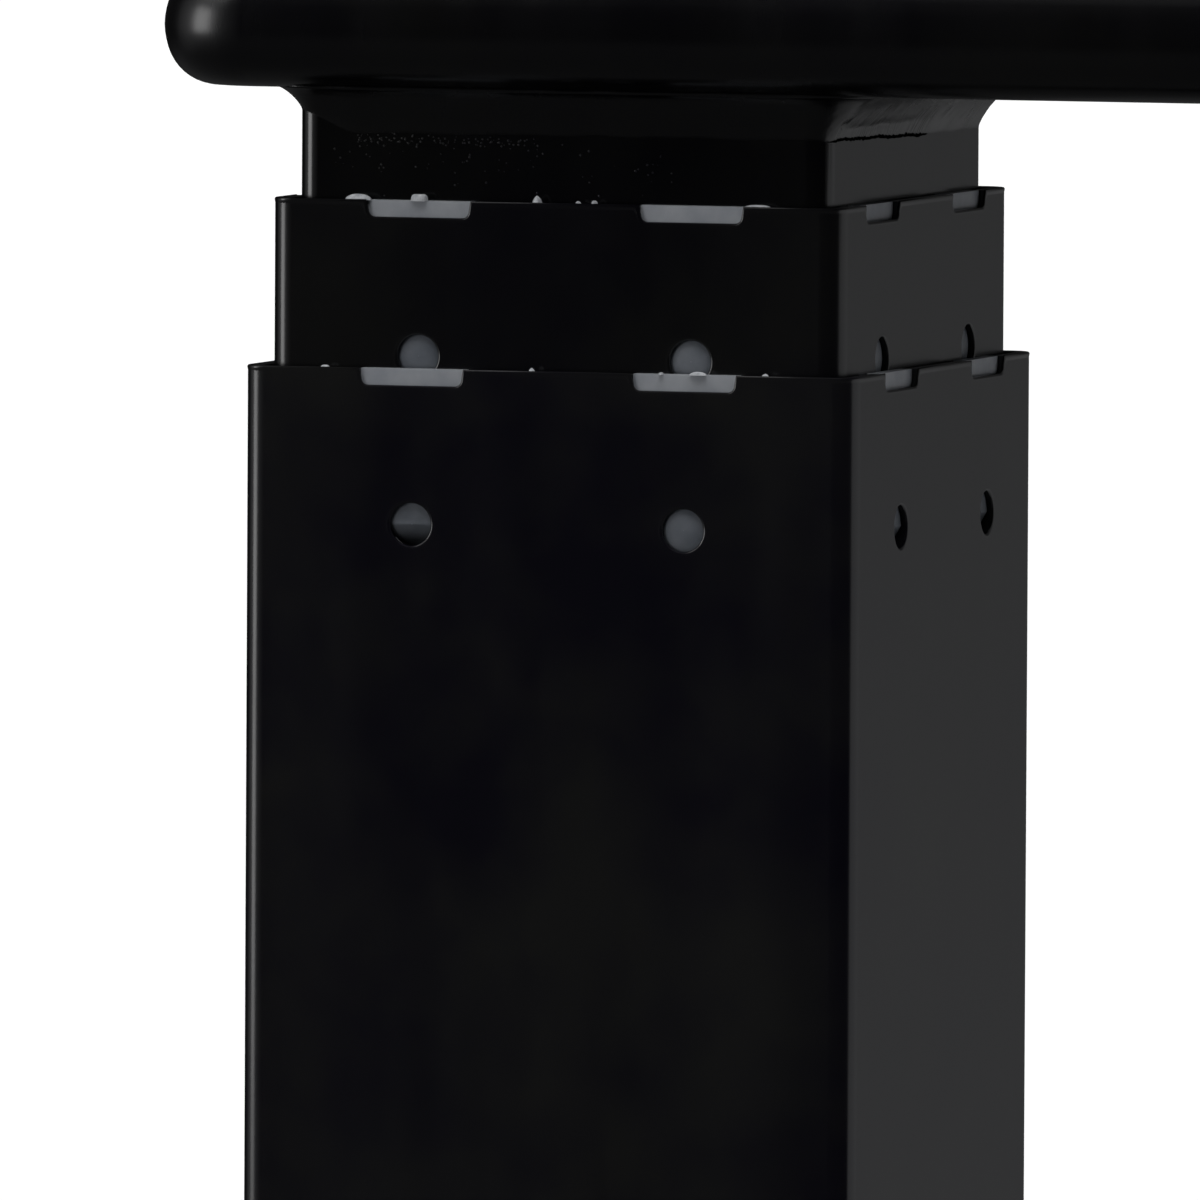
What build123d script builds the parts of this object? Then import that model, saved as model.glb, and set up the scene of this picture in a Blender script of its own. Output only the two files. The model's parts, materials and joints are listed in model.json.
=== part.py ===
"""Electric standing desk frame: two C-shaped lifting legs joined by two cross rails.

Each leg is a three-stage square lifting column. The thick outer tube stands on the foot and the
thinnest tube, at the top, is welded under a flat rounded support arm. White plastic glides clip
into round holes and rim notches of the two lower tubes. An inline gearmotor in the outer tube
turns a solid screw, which lifts the middle tube and turns a hollow screw that lifts the inner one.

Millimetres. X runs from the rear of the desk to the user, Y from the left leg to the right leg,
Z is up. The origin is on the floor, in the middle of the two feet. The legs are fully lowered.
"""

import os

from build123d import *

# The frame as a whole
column_x = -238.0
leg_spacing = 1080.0
stage_travel = 290.0

# Feet and support arms, both closed oval steel sections with rounded ends
foot_length, foot_width, foot_height = 600.0, 90.0, 25.0
foot_corner, foot_edge, foot_wall = 18.0, 7.0, 2.5
foot_low = 10.0
arm_length, arm_width, arm_height = 560.0, 80.0, 15.0
arm_corner, arm_edge, arm_wall = 14.0, 6.5, 2.0
arm_rear_overhang = 53.5

# Column tubes: outer size of the outer tube, and the step from each tube to the next
outer_width, outer_depth = 80.0, 75.0
tube_wall, tube_gap, tube_corner = 1.8, 0.8, 3.0
tube_step = 2 * (tube_wall + tube_gap)
outer_low, outer_rim = foot_low + foot_height, 560.0
middle_low, middle_rim = 168.0, outer_rim + 20.8
inner_low, inner_top = 200.0, middle_rim + 13.8
weld_leg, weld_toe = 5.0, 0.1

# Glides in the rims: two on each of the four faces
glide_pitch = 35.6
notch_width, notch_depth, notch_corner = 13.8, 2.4, 1.2
glide_hole, glide_hole_drop = 6.0, 19.3
glide_height, glide_play, glide_clearance = 30.0, 0.15, 0.1
glide_recess = 0.9

# Guides round the lower ends of the middle and inner tubes
guide_height, guide_lip = 26.0, 2.0

# Drive
base_plate_thick = 8.0
motor_diameter, motor_height = 54.0, 68.0
gearbox_diameter, gearbox_height = 58.0, 30.0
block_height = 12.0
inner_screw_diameter, hollow_screw_diameter, hollow_screw_bore = 14.0, 22.0, 17.0
nut_play = 0.1
nut_plate_thick = 10.0
key_width, key_reach = 3.0, 1.0

# Outlet for the motor's cable, low in the rear face of the outer tube
cable_hole, cable_bore, cable_hole_height = 12.0, 6.0, 63.0

# Rails under the support arms
rail_width, rail_height, rail_wall, rail_corner = 40.0, 20.0, 1.5, 3.0
rail_length = leg_spacing + 60.0
rail_stations = {"rear": -120.0, "front": 190.0}
rail_bolt_pitch = 32.0

# Screw holes for the desktop
desktop_stations = (-170.0, 40.0, 245.0)
desktop_hole, driver_hole = 5.5, 10.0

# Fasteners and levelling feet
bolt_hole_play = 0.6
base_bolt_pitch = (50.0, 46.0)
leveller_stations = (-276.0, 276.0)
leveller_stud, leveller_pad = 8.0, 32.0

left_y = -leg_spacing / 2
arm_low = inner_top
arm_rear = column_x - arm_rear_overhang
arm_middle = arm_rear + arm_length / 2
base_plate_top = outer_low + base_plate_thick
motor_top = base_plate_top + motor_height
gearbox_top = motor_top + gearbox_height
block_top = gearbox_top + block_height


def on_column(height):
    """Level plane on the axis of the left column."""
    return Plane(origin=(column_x, left_y, height))


def on_arm(x, height):
    """Level plane on the centre line of the left foot and arm."""
    return Plane(origin=(x, left_y, height))


def oval_section(length, width, height, corner, edge, wall, low, x):
    """Closed hollow bar with rounded ends and rounded edges all round.

    The hollow's edges are cut at 45 degrees, by as much as keeps the wall even behind the round edge.
    """
    with BuildPart() as bar:
        with BuildSketch(on_arm(x, low)):
            RectangleRounded(length, width, corner)
        extrude(amount=height)
        fillet(bar.faces().sort_by(Axis.Z)[0].edges() + bar.faces().sort_by(Axis.Z)[-1].edges(), edge)
    with BuildPart() as hollow:
        with BuildSketch(on_arm(x, low + wall)):
            RectangleRounded(length - 2 * wall, width - 2 * wall, corner - wall)
        extrude(amount=height - 2 * wall)
        inside = hollow.faces().sort_by(Axis.Z)
        chamfer(inside[0].edges() + inside[-1].edges(), 0.6 * (edge - wall))
    return bar.part, hollow.part


def turned(profile, height=0.0):
    """Solid of revolution about the column axis from (radius, z) corner points."""
    with BuildPart() as piece:
        with BuildSketch(Plane(origin=(column_x, left_y, height), x_dir=(1, 0, 0), z_dir=(0, -1, 0))):
            with BuildLine():
                Polyline(*profile, close=True)
            make_face()
        revolve(axis=Axis((column_x, left_y, 0), (0, 0, 1)))
    return piece.part


def column_tube(step, low, high, with_glides):
    """One rolled tube of the column; step 0 is the outer tube and 2 the inner one."""
    width = outer_width - step * tube_step
    depth = outer_depth - step * tube_step
    with BuildPart() as tube:
        with BuildSketch(on_column(low)):
            RectangleRounded(width, depth, tube_corner)
            RectangleRounded(
                width - 2 * tube_wall, depth - 2 * tube_wall, tube_corner - tube_wall, mode=Mode.SUBTRACT
            )
        extrude(amount=high - low)
        if with_glides:
            for across in ((1, 0, 0), (0, 1, 0)):
                through = Plane(
                    origin=(column_x, left_y, high),
                    x_dir=across,
                    z_dir=(across[1], -across[0], 0),
                )
                with BuildSketch(through):
                    with Locations((-glide_pitch / 2, 0), (glide_pitch / 2, 0)):
                        RectangleRounded(notch_width, 2 * notch_depth, notch_corner)
                    with Locations((-glide_pitch / 2, -glide_hole_drop), (glide_pitch / 2, -glide_hole_drop)):
                        Circle(glide_hole / 2)
                extrude(amount=outer_width, both=True, mode=Mode.SUBTRACT)
    return tube.part


def rim_glides(step, rim):
    """Eight glide pads between a tube and the next one in, each with a lip and a round button."""
    faces = (
        ((1, 0, 0), (0, -1, 0), outer_depth),
        ((-1, 0, 0), (0, 1, 0), outer_depth),
        ((0, 1, 0), (1, 0, 0), outer_width),
        ((0, -1, 0), (-1, 0, 0), outer_width),
    )
    pad_width = notch_width - 2 * glide_clearance
    pad_thick = tube_gap - glide_play
    outward = tube_wall - glide_recess
    with BuildPart() as glides:
        for across, normal, size in faces:
            inner_wall = (size - step * tube_step) / 2 - tube_wall
            wall_plane = Plane(
                origin=(column_x + normal[0] * inner_wall, left_y + normal[1] * inner_wall, rim),
                x_dir=across,
                z_dir=normal,
            )
            for station in (-glide_pitch / 2, glide_pitch / 2):
                with BuildSketch(wall_plane):
                    with Locations((station, -glide_height / 2)):
                        Rectangle(pad_width, glide_height)
                extrude(amount=-pad_thick)
                with BuildSketch(wall_plane):
                    with Locations((station, 0)):
                        RectangleRounded(pad_width, 2 * (notch_depth - glide_clearance), notch_corner)
                        with Locations((0, notch_depth)):
                            Rectangle(pad_width, 2 * notch_depth, mode=Mode.SUBTRACT)
                    with Locations((station, -glide_hole_drop)):
                        Circle(glide_hole / 2 - glide_clearance)
                extrude(amount=outward)
    return glides.part


def end_guide(step, low):
    """Plastic sleeve round the lower end of a tube, with a lip under the tube's edge."""
    width = outer_width - step * tube_step
    depth = outer_depth - step * tube_step
    slide = 2 * (tube_gap - glide_play)
    with BuildPart() as guide:
        with BuildSketch(on_column(low - guide_lip)):
            RectangleRounded(width + slide, depth + slide, tube_corner)
            RectangleRounded(width - 2 * tube_wall, depth - 2 * tube_wall, tube_corner, mode=Mode.SUBTRACT)
        extrude(amount=guide_lip)
        with BuildSketch(on_column(low)):
            RectangleRounded(width + slide, depth + slide, tube_corner)
            RectangleRounded(width, depth, tube_corner - 0.5, mode=Mode.SUBTRACT)
        extrude(amount=guide_height - guide_lip)
        # an upright slot in the middle of each face lets the sleeve spring over the tube
        for across, normal in (((1, 0, 0), (0, -1, 0)), ((0, 1, 0), (1, 0, 0))):
            with BuildSketch(Plane(origin=(column_x, left_y, low + guide_height), x_dir=across, z_dir=normal)):
                Rectangle(5.0, guide_height)
            extrude(amount=outer_width, both=True, mode=Mode.SUBTRACT)
    return guide.part


def plate_in_tube(step, low, thick, hole):
    """Steel plate welded across the inside of a tube, with a round hole in the middle."""
    width = outer_width - step * tube_step - 2 * tube_wall
    depth = outer_depth - step * tube_step - 2 * tube_wall
    with BuildPart() as plate:
        with BuildSketch(on_column(low)):
            RectangleRounded(width, depth, tube_corner)
            Circle(hole / 2, mode=Mode.SUBTRACT)
        extrude(amount=thick)
    return plate.part


leg = {}

# Foot: hollow bar, bolted up into the column's base plate, with two bosses for levelling feet
foot_solid, foot_hollow = oval_section(
    foot_length, foot_width, foot_height, foot_corner, foot_edge, foot_wall, foot_low, 0
)
boss_height = 10.0
with BuildPart() as foot:
    add(foot_solid)
    add(foot_hollow, mode=Mode.SUBTRACT)
    with BuildSketch(on_column(foot_low + foot_height)):
        with GridLocations(*base_bolt_pitch, 2, 2):
            Circle((leveller_stud + bolt_hole_play) / 2)
    extrude(amount=-2 * foot_wall, mode=Mode.SUBTRACT)
    with BuildSketch(on_column(foot_low)):
        with GridLocations(*base_bolt_pitch, 2, 2):
            Circle(9.0)
    extrude(amount=2 * foot_wall, mode=Mode.SUBTRACT)
    for station in leveller_stations:
        with BuildSketch(on_arm(station, foot_low + foot_wall)):
            RegularPolygon(7.5, 6, major_radius=False)
        extrude(amount=boss_height)
        with BuildSketch(on_arm(station, foot_low)):
            Circle(leveller_stud / 2 + nut_play)
        extrude(amount=2 * boss_height, mode=Mode.SUBTRACT)
leg["foot"] = foot.part

# Levelling feet: a plastic pad moulded on a threaded stud, screwed fully in
for name, station in zip(("rear", "front"), leveller_stations):
    with BuildPart() as leveller:
        with BuildSketch(on_arm(station, 0)):
            Circle(leveller_pad / 2)
        extrude(amount=6.0)
        chamfer(leveller.faces().sort_by(Axis.Z)[-1].edges(), 1.5)
        with BuildSketch(on_arm(station, 6.0)):
            RegularPolygon(6.5, 6, major_radius=False)
        extrude(amount=foot_low - 6.2)
        with BuildSketch(on_arm(station, 6.0)):
            Circle(leveller_stud / 2)
        extrude(amount=24.0)
        chamfer(leveller.faces().sort_by(Axis.Z)[-1].edges(), 0.8)
    leg[f"leveller_{name}"] = leveller.part

# Base plate in the foot of the outer tube, and its four bolts, whose heads bear inside the foot
with BuildPart() as base_plate:
    with BuildSketch(on_column(outer_low)):
        RectangleRounded(outer_width - 2 * tube_wall, outer_depth - 2 * tube_wall, tube_corner)
        with GridLocations(*base_bolt_pitch, 2, 2):
            Circle(leveller_stud / 2, mode=Mode.SUBTRACT)
    extrude(amount=base_plate_thick)
leg["base_plate"] = base_plate.part

head_top = outer_low - foot_wall
with BuildPart() as base_bolts:
    with BuildSketch(on_column(head_top)):
        with GridLocations(*base_bolt_pitch, 2, 2):
            RegularPolygon(6.5, 6, major_radius=False)
    extrude(amount=-5.3)
    with BuildSketch(on_column(head_top)):
        with GridLocations(*base_bolt_pitch, 2, 2):
            Circle(leveller_stud / 2)
    extrude(amount=foot_wall + base_plate_thick - 0.5)
leg["base_bolts"] = base_bolts.part

# The three tubes, their glides and guides. The outer tube's rear face has the cable outlet
outlet = Plane(
    origin=(column_x - outer_width / 2, left_y, cable_hole_height), x_dir=(0, -1, 0), z_dir=(-1, 0, 0)
)
with BuildPart() as outer_tube:
    add(column_tube(0, outer_low, outer_rim, True))
    with BuildSketch(outlet):
        Circle(cable_hole / 2)
    extrude(amount=-2 * tube_wall, mode=Mode.SUBTRACT)
leg["outer_tube"] = outer_tube.part
leg["middle_tube"] = column_tube(1, middle_low, middle_rim, True)
leg["inner_tube"] = column_tube(2, inner_low, inner_top, False)
leg["outer_glides"] = rim_glides(0, outer_rim)
leg["middle_glides"] = rim_glides(1, middle_rim)
leg["middle_guide"] = end_guide(1, middle_low)
leg["inner_guide"] = end_guide(2, inner_low)

# Grommet of the outlet: a collar on each side of the wall and a neck through it
with BuildPart() as cable_grommet:
    with BuildSketch(outlet):
        Circle(cable_hole / 2 + 2.2)
    extrude(amount=1.6)
    chamfer(cable_grommet.faces().sort_by(Axis.X)[0].edges(), 0.7)
    with BuildSketch(outlet):
        Circle(cable_hole / 2 - 0.05)
    extrude(amount=-tube_wall)
    with BuildSketch(outlet.offset(-tube_wall)):
        Circle(cable_hole / 2 + 1.5)
    extrude(amount=-1.2)
    with BuildSketch(outlet.offset(2.0)):
        Circle(cable_bore / 2)
    extrude(amount=-8.0, mode=Mode.SUBTRACT)
leg["cable_grommet"] = cable_grommet.part

# Gearmotor standing on the base plate
motor_radius = motor_diameter / 2
leg["motor"] = turned(
    [
        (0, base_plate_top),
        (motor_radius - 12, base_plate_top),
        (motor_radius - 12, base_plate_top + 3),
        (motor_radius - 2, base_plate_top + 3),
        (motor_radius, base_plate_top + 5),
        (motor_radius, motor_top),
        (0, motor_top),
    ]
)
output_bore, output_depth = 14.2, 10.0
with BuildPart() as gearbox:
    with BuildSketch(on_column(motor_top)):
        Circle(gearbox_diameter / 2)
    extrude(amount=gearbox_height)
    with BuildSketch(on_column(gearbox_top)):
        Circle(output_bore / 2)
    extrude(amount=-output_depth, mode=Mode.SUBTRACT)
    # grooves between the ribs of the ring gear housing
    with BuildSketch(on_column(motor_top + 4)):
        with PolarLocations(gearbox_diameter / 2, 8):
            Rectangle(2.4, 7.0)
    extrude(amount=gearbox_height - 8, mode=Mode.SUBTRACT)
leg["gearbox"] = gearbox.part

# Output shaft: round journal in the gearbox and a hexagon up into the screw
hexagon = 8.0
shaft_low = gearbox_top - output_depth + 0.2
with BuildPart() as output_shaft:
    with BuildSketch(on_column(shaft_low)):
        Circle(output_bore / 2 - nut_play)
    extrude(amount=gearbox_top - 0.2 - shaft_low)
    with BuildSketch(on_column(gearbox_top - 0.2)):
        RegularPolygon(hexagon / 2, 6, major_radius=False)
    extrude(amount=11.0)
leg["output_shaft"] = output_shaft.part

# Bearing block across the outer tube, with the ball bearing that carries the screw
bearing_seat, bearing_height = 32.0, 9.0
with BuildPart() as bearing_block:
    add(plate_in_tube(0, gearbox_top, block_height, 20.0))
    with BuildSketch(on_column(block_top)):
        Circle(bearing_seat / 2)
    extrude(amount=-bearing_height, mode=Mode.SUBTRACT)
leg["bearing_block"] = bearing_block.part

journal = 12.0
ring_outer, ring_inner = bearing_seat / 2 - 0.05, journal / 2 + 0.05
bearing_low, bearing_high = block_top - bearing_height, block_top - nut_play
leg["screw_bearing"] = turned(
    [
        (ring_inner, bearing_low),
        (ring_outer, bearing_low),
        (ring_outer, bearing_high),
        (ring_inner, bearing_high),
    ]
)

# Inner screw: journal, shoulder, threaded length and a keyed collar at the top
lower_nut_low, lower_nut_flange = 160.0, middle_low + nut_plate_thick
swivel_low = lower_nut_flange + 6.0
swivel_high = swivel_low + 7.0
collar_low, collar_height = 478.0, 22.0
screw_radius = inner_screw_diameter / 2
collar_radius = hollow_screw_bore / 2 - 0.2
with BuildPart() as inner_screw:
    add(
        turned(
            [
                (0, gearbox_top),
                (journal / 2, gearbox_top),
                (journal / 2, block_top),
                (9.0, block_top),
                (9.0, block_top + 4),
                (screw_radius, block_top + 4),
                (screw_radius, collar_low),
                (collar_radius, collar_low),
                (collar_radius, collar_low + collar_height),
                (0, collar_low + collar_height),
            ]
        )
    )
    with BuildSketch(on_column(gearbox_top)):
        RegularPolygon(hexagon / 2 + nut_play, 6, major_radius=False)
    extrude(amount=block_height - 0.5, mode=Mode.SUBTRACT)
    with BuildSketch(on_column(collar_low)):
        Rectangle(hollow_screw_bore + 2 * key_reach, key_width)
        Circle(collar_radius - 1, mode=Mode.SUBTRACT)
    extrude(amount=collar_height)
leg["inner_screw"] = inner_screw.part

# Hollow screw round it, turning on the lower nut and keyed to the collar
hollow_top = 525.0
swivel_journal = 20.0
with BuildPart() as hollow_screw:
    add(
        turned(
            [
                (hollow_screw_bore / 2, swivel_low + 0.2),
                (swivel_journal / 2, swivel_low + 0.2),
                (swivel_journal / 2, swivel_high + 0.2),
                (hollow_screw_diameter / 2, swivel_high + 0.2),
                (hollow_screw_diameter / 2, hollow_top),
                (hollow_screw_bore / 2, hollow_top),
            ]
        )
    )
    with BuildSketch(on_column(swivel_low)):
        Rectangle(hollow_screw_bore + 2 * key_reach + 0.4, key_width + 0.4)
    extrude(amount=hollow_top - swivel_low, mode=Mode.SUBTRACT)
leg["hollow_screw"] = hollow_screw.part

# Nut plates, nuts and the swivel bearing
lower_nut_body, upper_nut_body = 24.0, 32.0
leg["lower_nut_plate"] = plate_in_tube(1, middle_low, nut_plate_thick, lower_nut_body)
leg["upper_nut_plate"] = plate_in_tube(2, inner_low, nut_plate_thick, upper_nut_body)


def flanged_nut(bore, body, flange, low, flange_low, flange_high):
    """Plastic nut with a round body through its plate and a flange with two flats above it."""
    with BuildPart() as nut:
        with BuildSketch(on_column(low)):
            Circle(body / 2 - 0.05)
        extrude(amount=flange_low - low)
        with BuildSketch(on_column(flange_low)):
            Circle(flange / 2)
            Rectangle(flange, body + 2, mode=Mode.INTERSECT)
        extrude(amount=flange_high - flange_low)
        with BuildSketch(on_column(low)):
            Circle(bore / 2 + nut_play)
        extrude(amount=flange_high - low, mode=Mode.SUBTRACT)
    return nut.part


leg["lower_nut"] = flanged_nut(
    inner_screw_diameter, lower_nut_body, 38.0, lower_nut_low, lower_nut_flange, swivel_low
)
upper_nut_flange = inner_low + nut_plate_thick
leg["upper_nut"] = flanged_nut(
    hollow_screw_diameter, upper_nut_body, 46.0, inner_low - 4, upper_nut_flange, upper_nut_flange + 6
)
leg["swivel_bearing"] = turned(
    [
        (swivel_journal / 2 + 0.05, swivel_low),
        (lower_nut_body / 2 + 1, swivel_low),
        (lower_nut_body / 2 + 1, swivel_high),
        (swivel_journal / 2 + 0.05, swivel_high),
    ]
)

# Support arm: hollow bar with bolt holes down to the rails and screw holes up to the desktop
arm_solid, arm_hollow = oval_section(
    arm_length, arm_width, arm_height, arm_corner, arm_edge, arm_wall, arm_low, arm_middle
)
rail_bolt, rail_bolt_head = 6.0, 10.0
with BuildPart() as arm:
    add(arm_solid)
    add(arm_hollow, mode=Mode.SUBTRACT)
    for station in rail_stations.values():
        with BuildSketch(on_arm(station, arm_low)):
            with GridLocations(0, rail_bolt_pitch, 1, 2):
                Circle((rail_bolt + bolt_hole_play) / 2)
        extrude(amount=2 * arm_wall, mode=Mode.SUBTRACT)
        with BuildSketch(on_arm(station, arm_low + arm_height)):
            with GridLocations(0, rail_bolt_pitch, 1, 2):
                Circle(rail_bolt_head / 2 + 1.5)
        extrude(amount=-2 * arm_wall, mode=Mode.SUBTRACT)
    for station in desktop_stations:
        with BuildSketch(on_arm(station, arm_low)):
            Circle(driver_hole / 2)
        extrude(amount=2 * arm_wall, mode=Mode.SUBTRACT)
        with BuildSketch(on_arm(station, arm_low + arm_height)):
            Circle(desktop_hole / 2)
        extrude(amount=-2 * arm_wall, mode=Mode.SUBTRACT)
leg["arm"] = arm.part

# Fillet weld round the inner tube under the arm: a thin flange under the arm and a thin skin round the
# tube, with a hollow fillet in the corner between them, and the tube's own space cut out of it
inner_width = outer_width - 2 * tube_step
inner_depth = outer_depth - 2 * tube_step
weld_spread = 2 * weld_leg + 0.6
with BuildPart() as weld:
    with BuildSketch(on_column(arm_low)):
        RectangleRounded(inner_width + weld_spread, inner_depth + weld_spread, tube_corner + weld_leg)
    extrude(amount=-weld_toe)
    with BuildSketch(on_column(arm_low - weld_toe)):
        RectangleRounded(inner_width + 2 * weld_toe, inner_depth + 2 * weld_toe, tube_corner + weld_toe)
    extrude(amount=-weld_leg - weld_toe)
    root = weld.edges(Select.LAST).group_by(Axis.Z)[-1]
    fillet(root, weld_leg)
    with BuildSketch(on_column(arm_low)):
        RectangleRounded(inner_width, inner_depth, tube_corner)
    extrude(amount=-2 * weld_leg, mode=Mode.SUBTRACT)
leg["column_weld"] = weld.part

# Rails, their end plugs, hexagonal rivet nuts and bolts
frame_pieces = {}
rail_top = arm_low
rivet_nut_size = 9.0
for name, station in rail_stations.items():
    with BuildPart() as rail:
        rail_plane = Plane(
            origin=(station, -rail_length / 2, rail_top - rail_height / 2), x_dir=(1, 0, 0), z_dir=(0, 1, 0)
        )
        with BuildSketch(rail_plane):
            RectangleRounded(rail_width, rail_height, rail_corner)
            RectangleRounded(
                rail_width - 2 * rail_wall,
                rail_height - 2 * rail_wall,
                rail_corner - rail_wall,
                mode=Mode.SUBTRACT,
            )
        extrude(amount=rail_length)
        for side in (-1, 1):
            with BuildSketch(Plane(origin=(station, side * leg_spacing / 2, rail_top))):
                with GridLocations(0, rail_bolt_pitch, 1, 2):
                    RegularPolygon(rivet_nut_size / 2 + 0.05, 6, major_radius=False)
            extrude(amount=-2 * rail_wall, mode=Mode.SUBTRACT)
    frame_pieces[f"{name}_rail"] = rail.part

rail_ends = [(x, side) for x in rail_stations.values() for side in (-1, 1)]
with BuildPart() as rail_plugs:
    for station, side in rail_ends:
        plug_plane = Plane(
            origin=(station, side * rail_length / 2, rail_top - rail_height / 2),
            x_dir=(1, 0, 0),
            z_dir=(0, side, 0),
        )
        with BuildSketch(plug_plane):
            RectangleRounded(rail_width, rail_height, rail_corner)
        extrude(amount=2.5, taper=12)
        with BuildSketch(plug_plane):
            RectangleRounded(rail_width - 2 * rail_wall - 0.1, rail_height - 2 * rail_wall - 0.1, rail_corner)
            Rectangle(rail_width - 2 * rail_wall - 4, rail_height - 2 * rail_wall - 4, mode=Mode.SUBTRACT)
        extrude(amount=-5.0)
frame_pieces["rail_plugs"] = rail_plugs.part

bolt_stations = [
    (x, side * leg_spacing / 2 + way * rail_bolt_pitch / 2) for x, side in rail_ends for way in (-1, 1)
]
with BuildPart() as rail_bolts:
    for x, y in bolt_stations:
        head_plane = Plane(origin=(x, y, arm_low + arm_wall))
        with BuildSketch(head_plane):
            RegularPolygon(rail_bolt_head / 2, 6, major_radius=False)
        extrude(amount=4.0)
        with BuildSketch(head_plane):
            Circle(rail_bolt / 2)
        extrude(amount=-13.0)
frame_pieces["rail_bolts"] = rail_bolts.part

with BuildPart() as rivet_nuts:
    for x, y in bolt_stations:
        with BuildSketch(Plane(origin=(x, y, rail_top))):
            RegularPolygon(rivet_nut_size / 2, 6, major_radius=False)
        extrude(amount=-12.0)
        # the collar that setting the nut folds out under the rail's wall
        with BuildSketch(Plane(origin=(x, y, rail_top - rail_wall))):
            RegularPolygon(rivet_nut_size / 2 + 1.5, 6, major_radius=False)
        extrude(amount=-2.0)
        with BuildSketch(Plane(origin=(x, y, rail_top))):
            Circle(rail_bolt / 2 + 0.05)
        extrude(amount=-12.0, mode=Mode.SUBTRACT)
frame_pieces["rivet_nuts"] = rivet_nuts.part

# Both legs are the same, so the right one is the left one moved across
os.makedirs("parts", exist_ok=True)
for side, shift in (("left", 0.0), ("right", leg_spacing)):
    for name, piece in leg.items():
        placed = piece.moved(Location((0, shift, 0)))
        placed.label = f"{side}_{name}"
        export_step(placed, f"parts/{side}_{name}.step")
for name, piece in frame_pieces.items():
    piece.label = name
    export_step(piece, f"parts/{name}.step")
print(len(leg) * 2 + len(frame_pieces), "pieces written")
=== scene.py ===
"""Standing desk frame: coated steel, weld beads, plastic glides, studio and camera.

Metres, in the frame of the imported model: X from the rear to the user, Y from the left leg to the
right leg, Z up. The photograph shows the top of the left column from outside, so the camera is close
to it. Every new surface is worked out with numpy on a grid, as its docstring says.
"""

import json
import math

import bmesh
import bpy
import numpy as np
from mathutils import Matrix, Vector

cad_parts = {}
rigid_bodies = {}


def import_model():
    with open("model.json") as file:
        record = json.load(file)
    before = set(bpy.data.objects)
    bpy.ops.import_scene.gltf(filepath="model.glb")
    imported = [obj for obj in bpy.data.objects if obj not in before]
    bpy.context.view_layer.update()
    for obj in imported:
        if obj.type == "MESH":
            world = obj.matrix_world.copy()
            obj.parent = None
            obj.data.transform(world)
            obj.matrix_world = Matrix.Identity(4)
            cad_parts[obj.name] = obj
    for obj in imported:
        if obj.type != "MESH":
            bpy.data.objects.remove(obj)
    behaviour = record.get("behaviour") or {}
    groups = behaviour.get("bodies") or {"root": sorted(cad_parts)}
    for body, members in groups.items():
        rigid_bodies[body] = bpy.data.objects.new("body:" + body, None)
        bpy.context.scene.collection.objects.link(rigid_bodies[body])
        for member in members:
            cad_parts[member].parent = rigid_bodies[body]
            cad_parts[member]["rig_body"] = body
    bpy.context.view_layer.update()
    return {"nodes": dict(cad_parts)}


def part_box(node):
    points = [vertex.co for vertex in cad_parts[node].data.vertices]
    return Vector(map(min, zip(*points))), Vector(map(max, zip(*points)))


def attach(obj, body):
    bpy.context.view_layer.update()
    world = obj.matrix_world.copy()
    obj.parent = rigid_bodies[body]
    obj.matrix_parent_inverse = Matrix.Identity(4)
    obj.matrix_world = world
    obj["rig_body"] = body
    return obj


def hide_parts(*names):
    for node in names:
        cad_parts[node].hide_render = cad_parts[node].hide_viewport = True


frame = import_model()
sides = ("left", "right")
outward_sign = {"left": -1, "right": 1}
mm = 0.001

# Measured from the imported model
column = {side: (sum(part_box(f"{side}_outer_tube"), Vector()) / 2).to_2d() for side in sides}
tube_box = {tube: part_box(f"left_{tube}_tube") for tube in ("outer", "middle", "inner")}
tube_half = {tube: (high - low).to_2d() / 2 for tube, (low, high) in tube_box.items()}
rim = {tube: high.z for tube, (low, high) in tube_box.items()}
rim_centre = Vector((*column["left"], rim["outer"]))
arm_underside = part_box("left_arm")[0].z

# Camera: turned about the column's axis, looking a little down, a long lens
camera_yaw, camera_pitch, camera_roll = (math.radians(a) for a in (18.23, 3.33, 0.307))
camera_distance = 3.5
aim_right, aim_up = -5.12 * mm, -30.25 * mm
picture_pixels, focal_pixels, sensor_mm = 1200, 27950, 36.0

# The glides, their notches and holes, the plan corners and the screws, as the construction drawing has them
glide_pitch, pip_drop, pip_radius, glide_recess = 35.6 * mm, 19.3 * mm, 2.9 * mm, 0.9 * mm
notch_width, notch_depth, notch_corner, hole_radius = 13.8 * mm, 2.4 * mm, 1.2 * mm, 3.0 * mm
tube_corner, arm_corner, screw_lead = 3 * mm, 14 * mm, 8 * mm
glide_stations = (-glide_pitch / 2, glide_pitch / 2)


# Curves

def ramp(value, low, high):
    """Smooth step from 0 at low to 1 at high: 3 t^2 - 2 t^3, with t going evenly from 0 to 1."""
    at = np.clip((value - low) / (high - low), 0, 1)
    return at * at * (3 - 2 * at)


def hump(value, middle, width):
    """Gaussian hump of height 1."""
    return np.exp(-(((value - middle) / width) ** 2))


def ripple(at, waves, shortest, longest, seed):
    """Smooth noise that repeats once in every 0 to 1: a sum of sines with random turns, at most about 1.

    The shortest and longest wave are given as how many of them go into the whole.
    """
    random = np.random.default_rng(seed)
    count = random.integers(longest, shortest, waves)
    turn = random.uniform(0, 2 * np.pi, waves)
    return np.sin(2 * np.pi * count * np.asarray(at)[..., None] + turn).sum(-1) / math.sqrt(2 * waves)


def full_turn(count):
    """Angles evenly spaced round a full turn."""
    return np.arange(count) / count * 2 * np.pi


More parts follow.
